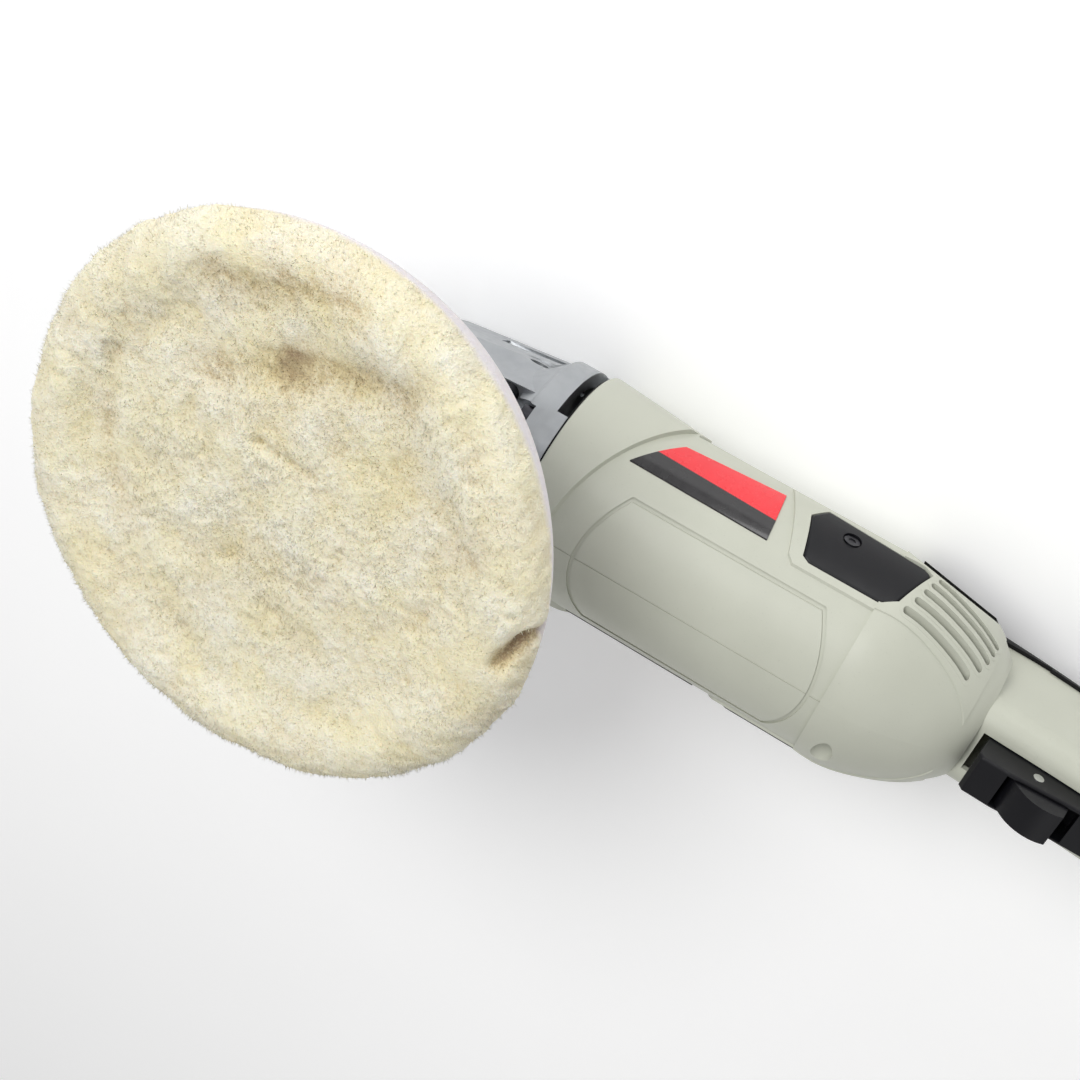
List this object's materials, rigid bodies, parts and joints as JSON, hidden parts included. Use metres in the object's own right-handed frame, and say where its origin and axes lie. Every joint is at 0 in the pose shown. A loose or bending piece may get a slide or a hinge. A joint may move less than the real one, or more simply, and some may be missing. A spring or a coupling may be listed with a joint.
{
  "type": "rotary polisher",
  "caption": "Right-angle rotary polisher with a round wool pad, motor barrel, straight rear handle with a long lever switch and lock-off latch.",
  "frame": {"origin": "on the spindle axis, on the flat top of the gear case, which the tool rests on with its pad up", "axes": "+Z along the spindle out of the pad, +X towards the rear handle, +Y towards the left side plate"},
  "size_m": [0.5102, 0.2148, 0.174],
  "materials": {
    "wool": "matte",
    "pad_foam": "matte",
    "steel": "satin",
    "dark_steel": "satin",
    "cast_aluminium": "satin",
    "black_casting": "satin",
    "black_plastic": "satin",
    "grey_plastic": "satin",
    "black_rubber": "matte",
    "copper": "satin",
    "enamelled_wire": "gloss",
    "carbon": "matte",
    "label": "gloss",
    "circuit": "satin",
    "bright_steel": "gloss"
  },
  "bodies": {
    "tool_body": {"gear_case": "cast_aluminium", "spindle_upper_bearing": "steel", "spindle_lower_bearing": "steel", "bearing_box": "black_casting", "oil_seal": "black_rubber", "bearing_box_screws": "dark_steel", "gear_case_screws": "dark_steel", "bearing_retainer": "steel", "spindle_lock_spring": "steel", "front_motor_bearing": "steel", "rear_motor_bearing": "steel", "stator_core": "dark_steel", "field_coils": "enamelled_wire", "fan_baffle": "black_plastic", "gasket": "black_rubber", "motor_housing": "grey_plastic", "brush_cover_left": "black_plastic", "brush_cover_right": "black_plastic", "brush_cover_screws": "dark_steel", "brush_holders": "copper", "carbon_brushes": "carbon", "brush_springs": "steel", "brush_caps": "black_plastic", "label_plate_left": "label", "label_plate_right": "label", "handle_shell_left": "grey_plastic", "handle_shell_right": "grey_plastic", "shell_screws": "dark_steel", "rest_strip": "black_rubber", "paddle_pivot_pin": "steel", "paddle_spring": "steel", "switch_body": "black_plastic", "speed_control_module": "circuit", "dial_pin": "steel", "cord_inlet": "black_rubber"},
    "pad_and_spindle": {"wool_bonnet": "wool", "backing_pad": "pad_foam", "backing_pad_nut": "steel", "spindle": "steel", "bevel_gear": "steel"},
    "armature": {"armature_shaft": "steel", "armature_core": "dark_steel", "armature_windings": "copper", "commutator": "copper", "cooling_fan": "black_plastic", "bevel_pinion": "steel"},
    "lock_button": {"spindle_lock_button": "black_plastic", "spindle_lock_pin": "steel"},
    "paddle": {"paddle_lever": "black_plastic", "latch_pin": "bright_steel", "latch_spring": "steel"},
    "latch": {"lock_off_latch": "black_plastic"},
    "plunger": {"switch_plunger": "black_plastic"},
    "dial": {"speed_dial": "black_plastic"}
  },
  "joints": [
    {"name": "spindle_spin", "type": "hinge", "parent": "tool_body", "child": "pad_and_spindle", "pos_m": [0, 0, 0.048], "axis": [0, 0, 1], "continuous": true},
    {"name": "armature_spin", "type": "hinge", "parent": "tool_body", "child": "armature", "pos_m": [0.1, 0, 0.048], "axis": [1, 0, 0], "continuous": true},
    {"name": "spindle_lock_press", "type": "slide", "parent": "tool_body", "child": "lock_button", "axis": [0, 0, 1], "range_m": [0, 0.007], "stiffness_N_per_m": 600, "springref_m": -0.002, "deforming": ["spindle_lock_spring"]},
    {"name": "paddle_squeeze", "type": "hinge", "parent": "tool_body", "child": "paddle", "pos_m": [0.34694, 0, 0.07905], "axis": [0, -1, 0], "range_deg": [0, 4], "stiffness_Nm_per_rad": 8, "springref_deg": -5.73, "deforming": ["paddle_spring"]},
    {"name": "latch_sweep", "type": "hinge", "parent": "paddle", "child": "latch", "pos_m": [0.27125, 0, 0.0768], "axis": [0, 1, 0], "range_deg": [0, 14], "stiffness_Nm_per_rad": 0.2, "springref_deg": -11.46, "deforming": ["latch_spring"]},
    {"name": "switch_press", "type": "slide", "parent": "tool_body", "child": "plunger", "axis": [0.1219, 0, -0.9925], "range_m": [0, 0.0028]},
    {"name": "speed_dial_turn", "type": "hinge", "parent": "tool_body", "child": "dial", "pos_m": [0.37695, 0, 0.04797], "axis": [0, 1, 0], "range_deg": [-135, 135]}
  ],
  "couplings": [
    {"joint": "armature_spin", "follows": "spindle_spin", "ratio": -4},
    {"joint": "switch_press", "follows": "paddle_squeeze", "m_per_rad": 0.038}
  ]
}
